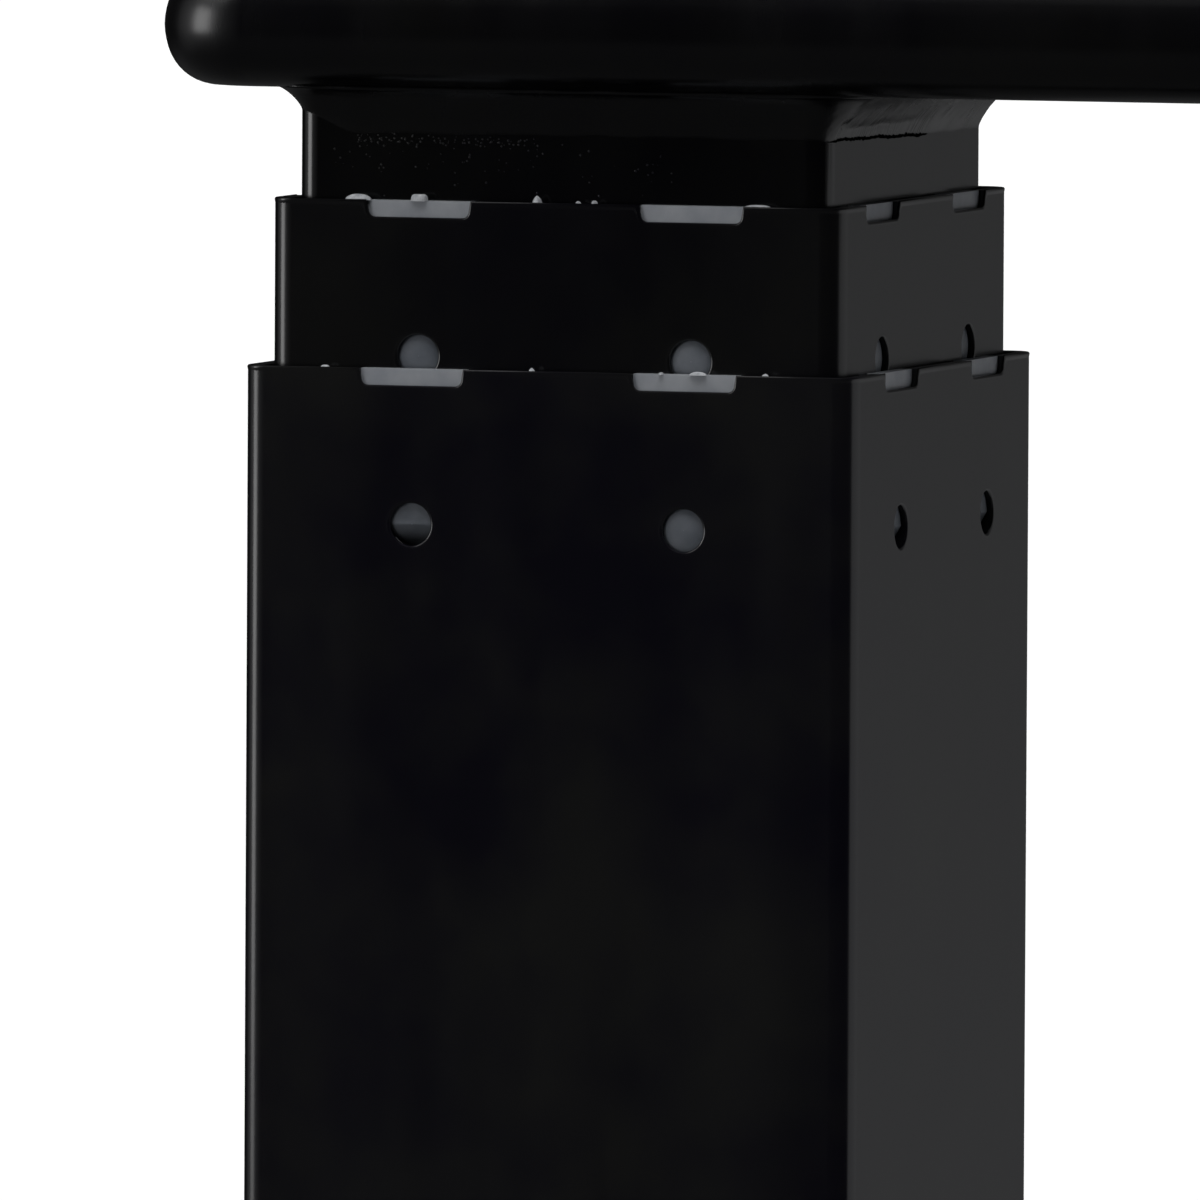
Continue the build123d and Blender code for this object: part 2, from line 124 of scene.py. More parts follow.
def rounded_outline(half, radius, count):
    """Points and outward normals, evenly spaced round a rectangle with rounded corners.

    Each corner is a quarter circle about its own centre; straight sides join them. The first point is at the
    start of the corner towards the user and the right leg, and the rest follow counterclockwise.
    """
    corner_points = 12
    quarter = np.linspace(0, np.pi / 2, corner_points)
    turn = (np.arange(4)[:, None] * np.pi / 2 + quarter).ravel()
    normal = np.stack([np.cos(turn), np.sin(turn)], -1)
    centre = np.repeat([[1, 1], [-1, 1], [-1, -1], [1, -1]], corner_points, 0) * (np.array(half) - radius)
    points = centre + radius * normal
    points, normal = np.vstack([points, points[:1]]), np.vstack([normal, normal[:1]])
    along = np.concatenate([[0], np.cumsum(np.linalg.norm(np.diff(points, axis=0), axis=1))])
    at = np.arange(count) / count * along[-1]
    points, normal = (np.stack([np.interp(at, along, line) for line in a.T], -1) for a in (points, normal))
    return points, normal / np.linalg.norm(normal, axis=1, keepdims=True)


# Meshes

def add_object(name, data):
    """A new object in the scene."""
    made = bpy.data.objects.new(name, data)
    bpy.context.scene.collection.objects.link(made)
    return made


def finish_with(mesh, material):
    """Gives a mesh its one material."""
    mesh.materials.clear()
    mesh.materials.append(material)


def new_piece(name, points, faces, body, material):
    """A smooth piece that rides on a body, from an array of points and an array of quads."""
    mesh = bpy.data.meshes.new(name)
    mesh.from_pydata(points.reshape(-1, 3).tolist(), [], faces.tolist())
    mesh.polygons.foreach_set("use_smooth", np.ones(len(faces), bool))
    finish_with(mesh, material)
    piece = add_object(name, mesh)
    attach(piece, body)
    return piece


def grid_faces(rows, columns, wrap_rows=False, wrap_columns=False):
    """Quads between neighbouring points of a grid, closed on itself where asked."""
    r = np.arange(rows if wrap_rows else rows - 1)[:, None]
    c = np.arange(columns if wrap_columns else columns - 1)[None, :]
    r_next, c_next = (r + 1) % rows, (c + 1) % columns
    corners = (r * columns + c, r * columns + c_next, r_next * columns + c_next, r_next * columns + c)
    return np.stack(np.broadcast_arrays(*corners), -1).reshape(-1, 4)


def cap_faces(first, count):
    """Strip of quads across a ring with an even count of points, from the ring's first point on."""
    k = np.arange(count // 2 - 1)
    return first + np.stack([k, k + 1, count - 2 - k, count - 1 - k], -1)


def dome_grid(rings, turns):
    """Latitudes and longitudes of a dome's points, and its faces, closed by a cap at the top."""
    lift, turn = np.meshgrid(np.linspace(0, np.pi / 2, rings), full_turn(turns), indexing="ij")
    sides_and_cap = grid_faces(rings, turns, wrap_columns=True), cap_faces((rings - 1) * turns, turns)
    return lift, turn, np.vstack(sides_and_cap)


def repeated(faces, copies, points_each):
    """The faces of one form, counted on for a row of copies of its points."""
    return (faces + np.arange(copies)[:, None, None] * points_each).reshape(-1, 4)


def eased_copy(node, easing, material, unwanted=None):
    """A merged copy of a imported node, with its sharp edges eased as coating or moulding leaves them.

    The points that unwanted picks are left out, with their faces.
    """
    merged_within, flat_within, sharp_from = 0.001 * mm, math.radians(0.5), math.radians(32)
    source = frame["nodes"][node]
    mesh = source.data.copy()
    shape = bmesh.new()
    shape.from_mesh(mesh)
    bmesh.ops.remove_doubles(shape, verts=shape.verts, dist=merged_within)
    if unwanted:
        bmesh.ops.delete(shape, geom=[point for point in shape.verts if unwanted(point.co)], context="VERTS")
    bmesh.ops.dissolve_limit(shape, angle_limit=flat_within, verts=shape.verts, edges=shape.edges)
    shape.to_mesh(mesh)
    shape.free()
    mesh.polygons.foreach_set("use_smooth", np.ones(len(mesh.polygons), bool))
    mesh.set_sharp_from_angle(angle=sharp_from)
    finish_with(mesh, material)
    piece = add_object(f"{node}_finished", mesh)
    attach(piece, source["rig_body"])
    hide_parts(node)
    bevel = piece.modifiers.new("eased", "BEVEL")
    bevel.width = easing
    bevel.segments = 3
    bevel.limit_method = "ANGLE"
    bevel.angle_limit = sharp_from
    bevel.use_clamp_overlap = True
    flats = piece.modifiers.new("flats_stay_flat", "WEIGHTED_NORMAL")
    flats.keep_sharp = True
    return piece


def crown_arm(piece, side):
    """Rounds the flat of the arm's narrow side, where the bar was drawn.

    Each point moves square to the nearest side, inwards by bend u^2 of a millimetre up to u = 1 mm above or
    below the middle. From there the slope runs out evenly to u = 3 mm, where the shift stays 3 bend, 0.2 mm.
    """
    bend, side_reach = 0.0675, 9 * mm
    low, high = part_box(f"{side}_arm")
    middle, half = (low + high) / 2, (high - low) / 2
    shape = bmesh.new()
    shape.from_mesh(piece.data)
    everything = shape.verts[:] + shape.edges[:] + shape.faces[:]
    bmesh.ops.bisect_plane(shape, geom=everything, plane_co=middle, plane_no=(0, 0, 1))
    shape.to_mesh(piece.data)
    shape.free()
    points = np.empty(3 * len(piece.data.vertices))
    piece.data.vertices.foreach_get("co", points)
    points = points.reshape(-1, 3)
    away = points - np.array(middle)
    past_corner = np.abs(away[:, :2]) - (np.array(half)[:2] - arm_corner)
    in_corner = past_corner.min(1, keepdims=True) > 0
    nearest = past_corner >= past_corner.max(1, keepdims=True)
    outward = np.where(in_corner, past_corner, nearest)
    length = np.maximum(np.linalg.norm(outward, axis=1, keepdims=True), 1e-9)
    outward = outward * np.sign(away[:, :2]) / length
    near_side = past_corner.max(1) > arm_corner - side_reach
    u = np.abs(away[:, 2]) / mm
    run_out = np.clip(u, 1, 3) - 1
    shift = bend * (np.minimum(u, 1) ** 2 + 2 * run_out - run_out**2 / 2)
    points[:, :2] -= outward * (shift * near_side)[:, None] * mm
    piece.data.vertices.foreach_set("co", points.ravel())
    piece.data.update()


# Materials

def material_tree(name):
    """A new material, its node tree and its Principled shader."""
    material = bpy.data.materials.new(name)
    material.use_nodes = True
    return material, material.node_tree, material.node_tree.nodes["Principled BSDF"]


def set_inputs(tree, node, inputs):
    """Sets inputs of a node, each to a value or to a socket to link from."""
    for name, value in inputs.items():
        if isinstance(value, bpy.types.NodeSocket):
            tree.links.new(value, node.inputs[name])
        else:
            node.inputs[name].default_value = value


def add_node(tree, kind, inputs=None, **settings):
    """One node, with its settings and its inputs."""
    made = tree.nodes.new(kind)
    for name, value in settings.items():
        setattr(made, name, value)
    set_inputs(tree, made, inputs or {})
    return made


def calculate(tree, operation, *values, kind="ShaderNodeMath"):
    """Result of one operation of a Math or Vector Math node."""
    return add_node(tree, kind, dict(enumerate(values)), operation=operation).outputs[0]


def axes_of(tree, vector):
    """The X, Y and Z of a vector."""
    return add_node(tree, "ShaderNodeSeparateXYZ", {0: vector}).outputs


def object_point(tree, offset=(0, 0, 0), scale=(1, 1, 1)):
    """Object coordinates, moved and then stretched."""
    coordinate = add_node(tree, "ShaderNodeTexCoord").outputs["Object"]
    moved = calculate(tree, "SUBTRACT", coordinate, offset, kind="ShaderNodeVectorMath")
    return calculate(tree, "MULTIPLY", moved, scale, kind="ShaderNodeVectorMath")


def noise(tree, point, per_metre, detail=2.0, roughness=0.5):
    """Noise with that many features a metre, around 0.5."""
    inputs = {"Vector": point, "Scale": per_metre, "Detail": detail, "Roughness": roughness}
    return add_node(tree, "ShaderNodeTexNoise", inputs).outputs["Fac"]


def spread(tree, value, low, high, to_low=0.0, to_high=1.0):
    """Value between low and high, carried over to to_low and to_high, and held at the ends."""
    inputs = {"Value": value, "From Min": low, "From Max": high, "To Min": to_low, "To Max": to_high}
    return add_node(tree, "ShaderNodeMapRange", inputs).outputs["Result"]


def two_tone(tree, value, dark, pale, low=0.3, high=0.7):
    """Colour from dark to pale as value goes from low to high."""
    inputs = {0: spread(tree, value, low, high), 6: (*dark, 1), 7: (*pale, 1)}
    return add_node(tree, "ShaderNodeMix", inputs, data_type="RGBA").outputs[2]


def relief(tree, shader, heights):
    """Bump from (height, depth in metres) pairs, one on the other."""
    normal = None
    for height, depth in heights:
        inputs = {"Height": height, "Distance": depth, "Strength": 1.0}
        if normal:
            inputs["Normal"] = normal
        normal = add_node(tree, "ShaderNodeBump", inputs).outputs["Normal"]
    set_inputs(tree, shader, {"Normal": normal})


def powder_coat(name, depth, roughness=0.13, grain=0.0):
    """Satin black powder coat: faint orange peel, cloudy depth of black, a rougher skin where welded.

    Its tones are divided by depth, as painted light and shade on one coat: a larger depth paints the same
    coat darker, as shade, and a depth under 1 paints it lighter, as glints. Grain is the depth of the
    finer bumps in a welded skin, and the coarser ones are three times as deep.
    """
    material, tree, shader = material_tree(name)
    point = object_point(tree)
    cloud = noise(tree, point, 22, detail=5, roughness=0.62)
    peel = noise(tree, point, 900)
    # painted light and shade: dividing by depth makes this coat darker or lighter than the others
    dark, pale = np.array([0.0040, 0.0035, 0.0078]) / depth, np.full(3, 0.0115) / depth
    streak = noise(tree, object_point(tree, scale=(1, 1, 0.12)), 70, detail=4, roughness=0.6)
    colour = two_tone(tree, cloud, dark, pale, low=0.42, high=0.64)
    sheen = spread(tree, streak, 0.35, 0.65, roughness, roughness + 0.09)
    set_inputs(tree, shader, {"Base Color": colour, "Roughness": sheen})
    heights = [(peel, 0.004 * mm)]
    if grain:
        heights.append((noise(tree, point, 2600, detail=4, roughness=0.7), grain))
        heights.append((noise(tree, point, 420, detail=3, roughness=0.6), 3 * grain))
    relief(tree, shader, heights)
    return material


def glide_plastic(name, dark, pale, shaded=None):
    """Milky acetal: pale grey, a little light gets in, fine moulding marks.

    Shaded is a height and a length: below that height the plastic darkens over that length to a tenth, a
    painted shade for the bottom of a recessed hole.
    """
    material, tree, shader = material_tree(name)
    point = object_point(tree)
    colour = two_tone(tree, noise(tree, point, 260, detail=3), dark, pale)
    # painted shade: the plastic darkens towards the bottom below the given height
    if shaded:
        height, length = shaded
        light = spread(tree, axes_of(tree, point)["Z"], height - length, height, 0.1, 1.0)
        colour = calculate(tree, "MULTIPLY", colour, light, kind="ShaderNodeVectorMath")
    inputs = {
        "Base Color": colour,
        "Roughness": 0.38,
        "Subsurface Weight": 0.25,
        "Subsurface Radius": (1.0, 1.0, 1.0),
        "Subsurface Scale": 1.2 * mm,
    }
    set_inputs(tree, shader, inputs)
    relief(tree, shader, [(noise(tree, point, 700, detail=3), 0.03 * mm)])
    return material


def shaving_plastic():
    """Freshly scraped acetal: white and dull."""
    material, tree, shader = material_tree("scraped_plastic")
    patch = noise(tree, object_point(tree), 1500, detail=3)
    colour = two_tone(tree, patch, (0.45, 0.47, 0.5), (0.8, 0.82, 0.85))
    set_inputs(tree, shader, {"Base Color": colour, "Roughness": 0.6})
    return material


def moulded_plastic(name, dark, pale, roughness):
    """Moulded plastic with a fine spark-eroded skin."""
    material, tree, shader = material_tree(name)
    point = object_point(tree)
    colour = two_tone(tree, noise(tree, point, 60, detail=3), dark, pale)
    set_inputs(tree, shader, {"Base Color": colour, "Roughness": roughness})
    relief(tree, shader, [(noise(tree, point, 1800), 0.02 * mm)])
    return material


def plated_steel(name, dark, pale, scratch_scale=(1, 1, 30), roughness=0.32):
    """Zinc plated steel with fine drawing marks; scratch_scale is large across the marks."""
    material, tree, shader = material_tree(name)
    marks = noise(tree, object_point(tree, scale=scratch_scale), 90, detail=4, roughness=0.7)
    colour = two_tone(tree, noise(tree, object_point(tree), 45, detail=3), dark, pale)
    sheen = spread(tree, marks, 0.3, 0.7, roughness - 0.08, roughness + 0.1)
    set_inputs(tree, shader, {"Base Color": colour, "Metallic": 1.0, "Roughness": sheen})
    relief(tree, shader, [(marks, 0.01 * mm)])
    return material


def threaded_steel(name, centre, lead):
    """Rolled trapezoidal thread: a wave that climbs by one lead each turn about the screw's axis."""
    material, tree, shader = material_tree(name)
    point = object_point(tree, offset=(centre.x, centre.y, 0))
    axes = axes_of(tree, point)
    turn = calculate(tree, "ARCTAN2", axes["Y"], axes["X"])
    climb = calculate(tree, "MULTIPLY_ADD", axes["Z"], 2 * math.pi / lead, turn)
    flank = spread(tree, calculate(tree, "SINE", climb), -0.45, 0.45)
    grime = noise(tree, point, 220, detail=3)
    colour = two_tone(tree, grime, (0.30, 0.30, 0.30), (0.55, 0.55, 0.54))
    set_inputs(tree, shader, {"Base Color": colour, "Metallic": 1.0, "Roughness": 0.3})
    relief(tree, shader, [(flank, 0.9 * mm)])
    return material


# The same black powder coat, painted darker per part as shade by a larger depth, and painted lighter on the
# spatter, as glints, by a depth under 1
coat = powder_coat("satin_black_powder_coat", 1.15, 0.17)
middle_coat = powder_coat("middle_black_powder_coat", 2, 0.17)
darker_painted_coat = powder_coat("darker_painted_shade_powder_coat", 3.5)
arm_coat = powder_coat("arm_black_powder_coat", 4, 0.21)
weld_coat = powder_coat("welded_black_powder_coat", 5, 0.22, 0.003 * mm)
spatter_coat = powder_coat("spattered_black_powder_coat", 0.5, 0.3)
# painted shade: a near-black plastic with no gloss stands for the shade inside the weld's cold gap
painted_gap_shade = moulded_plastic("painted_gap_shade", (0.0005, 0.0005, 0.0005), (0.001, 0.001, 0.001), 1.0)
painted_gap_shade.node_tree.nodes["Principled BSDF"].inputs["Specular IOR Level"].default_value = 0.0
milky = glide_plastic("milky_glide_plastic", (0.34, 0.36, 0.40), (0.46, 0.48, 0.51))
# The pips are the glides' own plastic, painted darker as the shade in their recessed holes; the creased ones
# are also painted darker towards their bottom
pip_painted_shade_tones = (0.13, 0.145, 0.17), (0.20, 0.215, 0.24)
pip_shade = rim["outer"] - pip_drop, 0.7 * pip_radius
pip_plastic_painted_shade = {
    "creased": glide_plastic("creased_pip_plastic_painted_shade", *pip_painted_shade_tones, pip_shade),
    "domed": glide_plastic("domed_pip_plastic_painted_shade", *pip_painted_shade_tones),
}
scraped = shaving_plastic()
white_moulded = moulded_plastic("natural_nylon", (0.62, 0.61, 0.57), (0.74, 0.73, 0.70), 0.45)
black_moulded = moulded_plastic("black_nylon", (0.008, 0.008, 0.009), (0.018, 0.018, 0.019), 0.5)
plated = plated_steel("zinc_plated_steel", (0.48, 0.49, 0.50), (0.64, 0.65, 0.66))
blackened = plated_steel("blackened_bolt_steel", (0.03, 0.03, 0.032), (0.06, 0.06, 0.062), roughness=0.42)
can_steel = plated_steel("drawn_motor_can", (0.36, 0.37, 0.38), (0.46, 0.47, 0.48), (1, 1, 12))
die_cast = plated_steel("die_cast_gear_housing", (0.42, 0.42, 0.43), (0.56, 0.56, 0.57), (3, 3, 3), 0.5)

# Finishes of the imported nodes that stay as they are
leg_finish = {
    "base_plate": plated,
    "base_bolts": blackened,
    "cable_grommet": black_moulded,
    "motor": can_steel,
    "gearbox": die_cast,
    "bearing_block": plated,
    "screw_bearing": plated,
    "middle_guide": white_moulded,
    "lower_nut_plate": plated,
    "lower_nut": white_moulded,
    "swivel_bearing": plated,
    "inner_guide": white_moulded,
    "upper_nut_plate": plated,
    "upper_nut": white_moulded,
    "output_shaft": plated,
}
node_finish = {"rail_bolts": blackened, "rivet_nuts": plated}
for side in sides:
    screw = threaded_steel(f"{side}_rolled_screw", column[side], screw_lead)
    for part, finish in {**leg_finish, "inner_screw": screw, "hollow_screw": screw}.items():
        node_finish[f"{side}_{part}"] = finish
for node, finish in node_finish.items():
    finish_with(frame["nodes"][node].data, finish)


# Round pips of the glides

def on_pip(side, tube):
    """A test for the points of a glide that belong to the raised face of a pip.

    They are less than 1.2 radii above or below its middle, and less than 1.4 recesses behind the steel.
    """
    half, centre, height = tube_half[tube], column[side], rim[tube] - pip_drop

    def test(point):
        depth = max(abs(point.x - centre.x) - half.x, abs(point.y - centre.y) - half.y)
        return abs(point.z - height) < 1.2 * pip_radius and depth > -1.4 * glide_recess

    return test


def glide_pips(side, tube, body):
    """Eight round pips on a grid of radius and turn, one for each glide of a tube.

    A domed pip falls away as 0.15 of the square of its radius, and stands 0.4 mm nearer to the steel's face.
    A creased pip is flat in its upper half. Below a faint level crease at mid height, its face falls away
    from the steel's hole, as 0.38 s + 0.14 s^2 of its radius, where s goes from 0 at the crease to 1 at the
    pip's lowest point. The edge of both is rounded off as the 10th power of the radius. All are creased on
    the outer tube, but for one on its outward face.
    """
    rings, turns = 22, 64
    nearer, edge_fall, skirt = 0.4 * mm, 0.12 * mm, 1.7 * mm
    crease_height, crease_width = 0.06 * mm, 0.12
    reach = np.linspace(0.02, 1, rings)[:, None]
    turn = full_turn(turns)
    across, up = reach * np.cos(turn), reach * np.sin(turn)
    below = np.clip(-up, 0, 1)
    rounding = edge_fall * reach**10
    fall = pip_radius * (0.38 * below + 0.14 * below**2) - crease_height * hump(up, 0, crease_width)
    dome = 0.15 * pip_radius * reach**2 - nearer + 0 * up
    back = np.full((2, turns), skirt)
    depths = {"creased": np.vstack([fall + rounding, back]), "domed": np.vstack([dome + rounding, back])}
    # the last two rings are the pip's edge and its middle, at the back
    across, up = (np.vstack([place, place[-1], 0 * place[-1]]) for place in (across, up))
    half = tube_half[tube]
    walls = (
        ((0, -1), (1, 0), half.y),
        ((0, 1), (-1, 0), half.y),
        ((1, 0), (0, 1), half.x),
        ((-1, 0), (0, -1), half.x),
    )
    pips = {"creased": [], "domed": []}
    for normal, along, wall in walls:
        for station in glide_stations:
            plain = tube == "middle" or (normal == (0, -1) and station > 0)
            kind = "domed" if plain else "creased"
            out = wall - glide_recess - depths[kind]
            plan = out[..., None] * normal + (station + pip_radius * across)[..., None] * along
            plan = plan + np.array(column[side])
            height = rim[tube] - pip_drop + pip_radius * up
            pips[kind].append(np.concatenate([plan, height[..., None]], -1))
    for kind, made in pips.items():
        if made:
            faces = repeated(grid_faces(*up.shape, wrap_columns=True), len(made), up.size)
            name = f"{side}_{tube}_{kind}_glide_pips"
            new_piece(name, np.array(made), faces, body, pip_plastic_painted_shade[kind])


# Coated and moulded pieces with eased edges

# The body that each of the two lower tubes rides on, and its coat
lower_tubes = {"outer": ("base", coat), "middle": ("middle", middle_coat)}
for side in sides:
    crown_arm(eased_copy(f"{side}_arm", 0.4 * mm, arm_coat), side)
    for part in ("foot", "inner_tube"):
        eased_copy(f"{side}_{part}", 0.4 * mm, darker_painted_coat)
    for tube, (body, tube_coat) in lower_tubes.items():
        eased_copy(f"{side}_{tube}_tube", 0.5 * mm, tube_coat)
    for tube, (body, tube_coat) in lower_tubes.items():
        eased_copy(f"{side}_{tube}_glides", 0.25 * mm, milky, on_pip(side, tube))
        glide_pips(side, tube, f"{side}_{body}")
    for part in ("leveller_rear", "leveller_front"):
        eased_copy(f"{side}_{part}", 0.3 * mm, black_moulded)
for part in ("rear_rail", "front_rail"):
    # the photograph shows no rail reflected in the tubes
    eased_copy(part, 0.3 * mm, coat).visible_glossy = False
eased_copy("rail_plugs", 0.4 * mm, black_moulded)


# Weld under the arm

weld_curve, weld_stations = 1.35, 1600


def under_arm(side, points, normal, out, down):
    """Places round the inner tube's outline, as millimetres out from its wall and down from the arm."""
    plan = points[:, None] + normal[:, None] * out[..., None] * mm + np.array(column[side])
    return np.concatenate([plan, (arm_underside - down * mm)[..., None]], -1)


def weld_bead(side):
    """Hollow-faced fillet weld, carried round the tube from its wall up to the arm.

    In section it is a superellipse, (1 - out/reach)^n + (1 - down/rise)^n = 1, with n = weld_curve between
    the straight line of 1 and the quarter ellipse of 2. It is low at the tube's rear end, and reaches
    further out on the user side, along the arm. The face has faint ridges, slanting on the user side and
    nearly level elsewhere. On the user side, from the near corner to past the middle, the weld ran cold: it
    has a shallow groove above its lower edge, and a pit near the corner. The sizes are in millimetres.
    """
    sunk, thinnest, grain = 0.4, 0.02, 0.004
    fall = np.concatenate([np.linspace(0, 0.9, 25)[:-1], np.linspace(0.9, 1, 13)])
    seam = np.arange(weld_stations)[:, None] / weld_stations
    points, normal = rounded_outline(tube_half["inner"], tube_corner, weld_stations)
    x, y = points[:, :1] / mm, points[:, 1:] / mm
    rear = -tube_half["inner"].x / mm
    user_side = np.clip(normal[:, :1], 0, 1) ** 2
    cold = (normal[:, :1] > 0.99) * ramp(-y, -9, -6)

    wave = 0.1 * ripple(seam, 5, 40, 4, seed=1)
    rise = 2.9 + 2.6 * ramp(x, rear, rear + 8) + 0.6 * user_side * ramp(y, -30, 10) + wave
    rise = rise + 0.09 * cold * ripple(seam, 10, 420, 120, seed=8)
    reach = 3.1 + 2.8 * user_side + wave
    down = rise * fall
    out = reach * (1 - (1 - (1 - fall) ** weld_curve) ** (1 / weld_curve))

    slant = seam + 0.012 * fall
    level = seam / 4 + fall / 3
    slanting = 0.02 * ripple(slant, 14, 420, 120, seed=5) + 0.035 * ripple(slant, 8, 90, 20, seed=9)
    levelled = 0.02 * ripple(level, 8, 60, 12, seed=3)
    out += 4 * fall * (1 - fall) * (user_side * slanting + (1 - user_side) * levelled)
    out += grain * np.random.default_rng(7).normal(0, 1, out.shape)
    out -= 0.3 * cold * hump(down, rise - 1.2 - 0.02 * (y + 30), 0.5) * hump(y, -13, 13)
    out -= 0.6 * user_side * hump(y, -28.3, 1.2) * hump(down, 3.7, 0.5)
    out = np.maximum(out, thinnest)

    back = np.full((weld_stations, 1), -sunk)
    out = np.hstack([out[:, :1], out, back, back])
    down = np.hstack([back, down, down[:, -1:], back])
    surface = under_arm(side, points, normal, out, down)
    faces = grid_faces(*out.shape, wrap_rows=True, wrap_columns=True)
    bead = new_piece(f"{side}_weld_bead", surface, faces, "top_frame", weld_coat)
    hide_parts(f"{side}_column_weld")
    along = np.flatnonzero((normal[:, 0] > 0.8) & (y[:, 0] < 8))
    weld_gap_painted_shade(side, points[along], normal[along], seam[along], rise[along])


def weld_gap_painted_shade(side, points, normal, seam, rise):
    """Painted shade of the uneven gap along the weld's lower edge where it ran cold: a near-black ridge of
    four points in section.

    Its middle line and its half height are each a constant and a ripple. Over 20 points at either end the
    half height goes down with the square root of the distance. The sizes are in millimetres.
    """
    count = np.arange(len(seam))[:, None]
    from_end = np.minimum(count, len(seam) - 1 - count) / 20
    half = 0.14 + 0.07 * ripple(seam, 16, 260, 60, seed=12)
    half = np.clip(half * np.sqrt(np.clip(from_end, 0.05, 1)), 0.03, 0.3)
    line = rise + 0.05 + 0.07 * ripple(seam, 12, 220, 50, seed=13)
    down = line + half * [-1, -1, 1, 1]
    surface = under_arm(side, points, normal, np.array([-0.2, 0.14, 0.1, -0.2]), down)
    faces = grid_faces(*down.shape, wrap_columns=True)
    new_piece(f"{side}_weld_gap_painted_shade", surface, faces, "top_frame", painted_gap_shade)


def weld_spatter(side):
    """Small drops of spatter on the outward face of the inner tube, thick just below the weld.

    Each is a dome of latitudes and longitudes, flattened to 0.7 of its radius. Where they are is drawn at
    random, in millimetres along the face and down from the arm.
    """
    rings, turns, flatness = 4, 8, 0.7
    normal = Vector((0, outward_sign[side], 0))
    random = np.random.default_rng(11)
    band = np.column_stack([random.uniform(-27, -3, 110), random.normal(6.4, 0.4, 110)])
    loose = np.column_stack([random.uniform(-31, 16, 70), 6.4 + random.gamma(2.0, 1.6, 70)])
    along, down = np.vstack([band, loose]).T * mm
    radii = random.uniform(0.05, 0.16, len(along)) * mm
    wall = np.full(len(along), column[side].y + normal.y * tube_half["inner"].y)
    centres = np.column_stack([column[side].x + along, wall, arm_underside - down])

    across = normal.orthogonal().normalized()
    basis = np.array([across, normal.cross(across), normal])
    lift, turn, faces = dome_grid(rings, turns)
    dome = np.stack([np.cos(lift) * np.cos(turn), np.cos(lift) * np.sin(turn), flatness * np.sin(lift)], -1)
    # the top ring's own radius is next to nothing
    dome[-1, :, :2] *= 0.05
    points = centres[:, None, None, :] + radii[:, None, None, None] * (dome @ basis)
    faces = repeated(np.vstack([faces, cap_faces(0, turns)[:, ::-1]]), len(centres), rings * turns)
    new_piece(f"{side}_weld_spatter", points, faces, "top_frame", spatter_coat)


# Coating on the cut edges

def bead_section(rounding, inset, proud, reach):
    """Section of a coating bead, as distances into the steel from the cut edge and out from the tube's face.

    A quarter circle goes from inset beyond the edge up to proud of the face, and a smooth step goes down
    from there to sunk under the face at reach.
    """
    sunk = 0.02 * mm
    quarter, run = np.linspace(0, np.pi / 2, 9), np.linspace(0, 1, 7)[1:]
    start = rounding - inset
    into = np.concatenate([start - rounding * np.cos(quarter), start + (reach - start) * run])
    run_out = proud * (1 - ramp(run, 0, 1)) - sunk * run
    out = np.concatenate([proud - rounding * (1 - np.sin(quarter)), run_out])
    return np.array([into, out])


def notch_outline():
    """A notch's outline, from its end at the rim on one side to that on the other, with rounded corners."""
    quarter = np.linspace(0, np.pi / 2, 6)
    corner = notch_corner * (1 - np.column_stack([np.cos(quarter), np.sin(quarter)]))
    corner = corner - [notch_width / 2, notch_depth]
    end = np.array([[notch_width / 2, 0.0]])
    return np.vstack([-end, corner, corner[::-1] * [-1, 1], end])


def cut_edges(side, tube, body, material):
    """Coating drawn up on a tube's cut edges: a closed bead along rim and notches, and one round each hole.

    In section the bead is a quarter circle from the opening to the face, and runs out smoothly into it. It
    lies over the edge at the rim, and inside the edge in the holes and notches. Its paths are worked out as
    if the tube's outside were unrolled, (length round the outline, height above the rim), with the steel on
    the right of the travel. At each point it is set off square to the path, by a mitre of its two steps.
    """
    outline_points, hole_points, corner_points = 4000, 40, 9
    over_edge = bead_section(0.25 * mm, 0.08 * mm, 0.08 * mm, 0.8 * mm)
    in_hole = bead_section(0.4 * mm, 0.35 * mm, 0.012 * mm, 0.2 * mm)
    flat, arc = np.array(tube_half[tube]) - tube_corner, tube_corner * np.pi / 2
    centres = arc + flat[0] + np.arange(4) * (flat.sum() + arc)
    total = centres[-1] + flat[1]
    turn = full_turn(hole_points)
    hole = hole_radius * np.column_stack([np.cos(turn), np.sin(turn)])
    notch = notch_outline()
    rim_path, loops = [], []
    for face, centre in enumerate(centres):
        for station in glide_stations:
            rim_path.append(notch + [centre + station, 0])
            loops.append((hole + [centre + station, -pip_drop], 0))
        past = centre + flat[face % 2] + np.linspace(0, arc, corner_points)
        rim_path.append(np.column_stack([past, 0 * past]))
    loops.append((np.vstack(rim_path), total))

    outline = np.hstack(rounded_outline(tube_half[tube], tube_corner, outline_points))
    at = np.arange(outline_points) / outline_points * total
    points, faces, count = [], [], 0
    for path, period in loops:
        into, out = np.where((path[:, 1] < 0)[:, None], in_hole[:, None], over_edge[:, None])
        step = np.roll(path, -1, 0) - path
        step[-1, 0] += period
        right = np.column_stack([step[:, 1], -step[:, 0]]) / np.linalg.norm(step, axis=1, keepdims=True)
        before = np.roll(right, 1, 0)
        mitre = (right + before) / (1 + (right * before).sum(1, keepdims=True))
        place = path[:, None, :] + mitre[:, None, :] * into[..., None]
        rolled = np.stack([np.interp(place[..., 0], at, line, period=total) for line in outline.T], -1)
        plan = rolled[..., :2] + rolled[..., 2:] * out[..., None] + np.array(column[side])
        points.append(np.concatenate([plan, (rim[tube] + place[..., 1])[..., None]], -1).reshape(-1, 3))
        faces.append(grid_faces(*into.shape, wrap_rows=True, wrap_columns=True) + count)
        count += len(points[-1])
    name = f"{side}_{tube}_cut_edges"
    new_piece(name, np.vstack(points), np.vstack(faces), body, material)


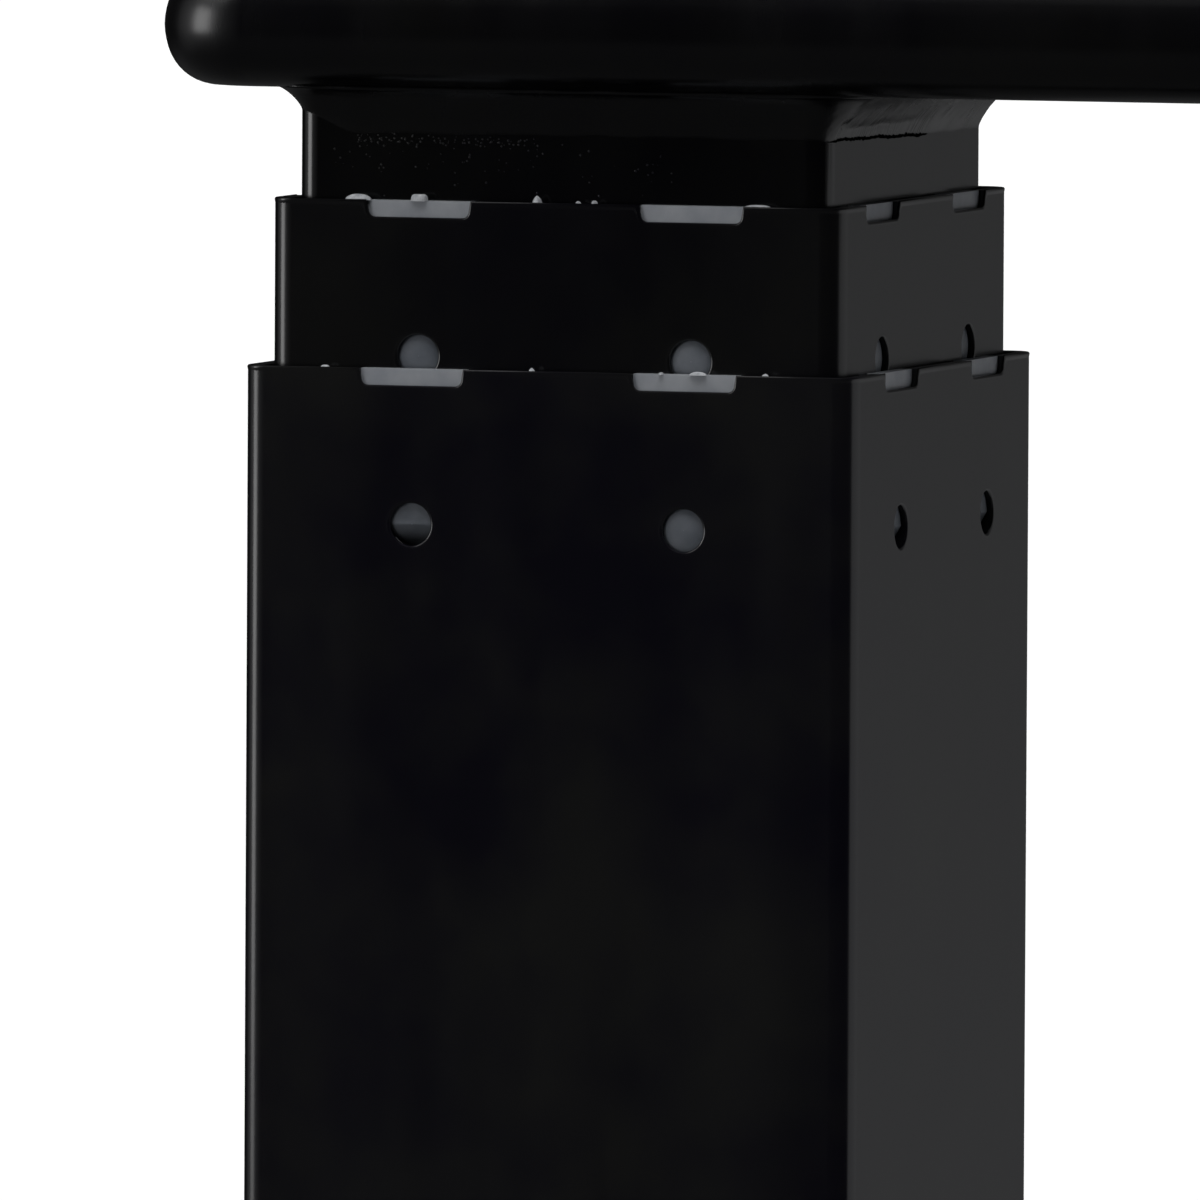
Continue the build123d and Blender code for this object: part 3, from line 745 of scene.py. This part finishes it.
# Plastic scraped off on the rims

# Each flake is (place along the outward face, width, height, sharpness), in millimetres
rim_shavings = {
    "outer": (
        (-29.2, 1.1, 0.35, 1),
        (-2.2, 0.7, 0.5, 2),
        (14.7, 0.6, 0.3, 1),
        (19.6, 2.2, 0.45, 1),
        (28.3, 0.9, 0.4, 2),
    ),
    "middle": (
        (-26.0, 3.3, 0.75, 1),
        (-17.8, 2.1, 0.85, 0.3),
        (-2.5, 1.2, 0.95, 2),
        (2.9, 0.7, 0.4, 2),
        (5.0, 0.8, 0.5, 1),
        (26.3, 3.2, 0.35, 1),
    ),
}


def rim_flakes(side, tube, body):
    """Plastic scraped off on a rim: low mounds, each a half ellipsoid of its own width and height.

    A sharpness above 1 draws the mound up to a point. A wobble three times round makes its outline uneven.
    """
    rings, turns = 7, 14
    inside_face, half_thickness, sunk = 0.75, 0.55, 0.05
    lift, turn, faces = dome_grid(rings, turns)
    along, width, tall, sharp = (np.array(values)[:, None, None] for values in zip(*rim_shavings[tube]))
    waist = np.cos(lift) ** sharp
    wobble = 1 + 0.18 * np.sin(3 * turn + 5 * along) * np.cos(lift)
    wall = tube_half[tube].y - (inside_face + half_thickness * waist * np.sin(turn)) * mm
    x = column[side].x + (along + width / 2 * waist * wobble * np.cos(turn)) * mm
    y = column[side].y + outward_sign[side] * wall
    z = rim[tube] + (tall * np.sin(lift) * wobble - sunk) * mm
    points = np.stack(np.broadcast_arrays(x, y, z), -1)
    faces = repeated(faces, len(points), rings * turns)
    new_piece(f"{side}_{tube}_rim_shavings", points, faces, body, scraped)


for side in sides:
    weld_bead(side)
    weld_spatter(side)
    for tube, (body, tube_coat) in lower_tubes.items():
        cut_edges(side, tube, f"{side}_{body}", tube_coat)
    for tube, (body, tube_coat) in lower_tubes.items():
        rim_flakes(side, tube, f"{side}_{body}")


# Studio

# Each part of the room is its light, and the limits of the directions that it fills, as (axis, start, end)
room_light = 0.012
room_parts = (
    # beyond the frame and at its right
    (0.03, (("X", -0.28, -0.2), ("Y", -0.08, 0.0))),
    # brighter low down
    (0.13, (("X", -0.28, -0.2), ("Y", -0.08, 0.0), ("Z", 0.12, -0.15))),
    # brighter to the right
    (0.42, (("X", 0.3, 1.0), ("Y", -0.08, 0.0))),
    # round the key light at the left
    (0.30, (("X", -0.35, -0.95), ("Y", 0.3, 0.0), ("Z", -0.45, -0.1))),
    # floor
    (0.05, (("Z", -0.15, -0.35),)),
    # ceiling
    (0.15, (("Z", 0.85, 0.93),)),
)


def studio_world():
    """White where the camera sees it. To reflections it is a dark room with pale parts.

    Each part gives its light where the direction is past all its limits, fading in from start to end.
    """
    world = bpy.data.worlds.new("grey_room")
    world.use_nodes = True
    tree = world.node_tree
    tree.nodes.clear()
    axes = axes_of(tree, add_node(tree, "ShaderNodeTexCoord").outputs["Generated"])
    room = room_light
    for part, limits in room_parts:
        for axis, start, end in limits:
            part = calculate(tree, "MULTIPLY", part, spread(tree, axes[axis], start, end))
        room = calculate(tree, "ADD", room, part)
    grey = add_node(tree, "ShaderNodeBackground", {"Color": (0.97, 0.98, 1.0, 1), "Strength": room})
    white = add_node(tree, "ShaderNodeBackground", {"Color": (1, 1, 1, 1), "Strength": 1.05})
    seen = add_node(tree, "ShaderNodeLightPath").outputs["Is Camera Ray"]
    mix = add_node(tree, "ShaderNodeMixShader", {0: seen, 1: grey.outputs[0], 2: white.outputs[0]})
    add_node(tree, "ShaderNodeOutputWorld", {0: mix.outputs[0]})
    bpy.context.scene.world = world


def pale_floor():
    """A wide pale floor that the frame stands on.

    It takes shadows, and stays out of the coating's reflections.
    """
    half = 60.0
    mesh = bpy.data.meshes.new("floor")
    corners = [(-half, -half, 0), (half, -half, 0), (half, half, 0), (-half, half, 0)]
    mesh.from_pydata(corners, [], [(0, 1, 2, 3)])
    material, tree, shader = material_tree("pale_floor")
    inputs = {
        "Base Color": (0.9, 0.9, 0.9, 1),
        "Roughness": 1.0,
        "Specular IOR Level": 0.0,
        "Emission Color": (1, 1, 1, 1),
        "Emission Strength": 0.33,
    }
    set_inputs(tree, shader, inputs)
    finish_with(mesh, material)
    floor = add_object("floor", mesh)
    floor.visible_glossy = False
    floor.visible_diffuse = False


def softbox(name, offset, size, power, glossy=True, diffuse=True):
    """A rectangular soft light that faces the outer rim's middle, for glints, for dull surfaces or for both.

    Offset is its place from there.
    """
    data = bpy.data.lights.new(name, "AREA")
    data.shape = "RECTANGLE"
    data.size, data.size_y = size
    data.energy = power
    lamp = add_object(name, data)
    lamp.location = rim_centre + Vector(offset)
    lamp.rotation_euler = (rim_centre - lamp.location).to_track_quat("-Z", "Y").to_euler()
    lamp.visible_camera = False
    lamp.visible_glossy = glossy
    lamp.visible_diffuse = diffuse


def overhead_sun():
    """Even soft light from above for the floor, with no glint on the frame."""
    data = bpy.data.lights.new("overhead", "SUN")
    data.energy = 2.2
    data.angle = math.radians(70)
    lamp = add_object("overhead", data)
    lamp.rotation_euler = (math.radians(10), math.radians(6), 0)
    lamp.visible_glossy = False


def column_camera():
    """Camera beside the left column, turned by yaw, pitch and roll about the axis at the outer rim."""
    yaw, pitch, roll = camera_yaw, camera_pitch, camera_roll
    ahead = Vector((-math.sin(yaw) * math.cos(pitch), math.cos(yaw) * math.cos(pitch), -math.sin(pitch)))
    level = Vector((math.cos(yaw), math.sin(yaw), 0))
    above = level.cross(ahead)
    right = math.cos(roll) * level + math.sin(roll) * above
    up = math.cos(roll) * above - math.sin(roll) * level
    data = bpy.data.cameras.new("camera")
    data.sensor_width = sensor_mm
    data.lens = focal_pixels / picture_pixels * sensor_mm
    data.clip_start, data.clip_end = 0.1, 200
    camera = add_object("camera", data)
    place = rim_centre + aim_right * right + aim_up * up - camera_distance * ahead
    turn = Matrix((right, up, -ahead)).transposed().to_4x4()
    camera.matrix_world = Matrix.Translation(place) @ turn
    bpy.context.scene.camera = camera


studio_world()
pale_floor()
overhead_sun()
softbox("key", (-1.80, -0.85, 0.24), size=(0.75, 1.0), power=9, diffuse=False)
softbox("high_key", (-1.3, -0.6, 1.2), size=(1.2, 0.8), power=3, diffuse=False)
softbox("front_fill", (-0.7, -1.8, 0.1), size=(0.8, 0.8), power=6, glossy=False)
softbox("side_fill", (1.9, -0.5, 0.5), size=(1.0, 1.6), power=3, glossy=False)
column_camera()
bpy.context.scene.view_settings.view_transform = "Standard"
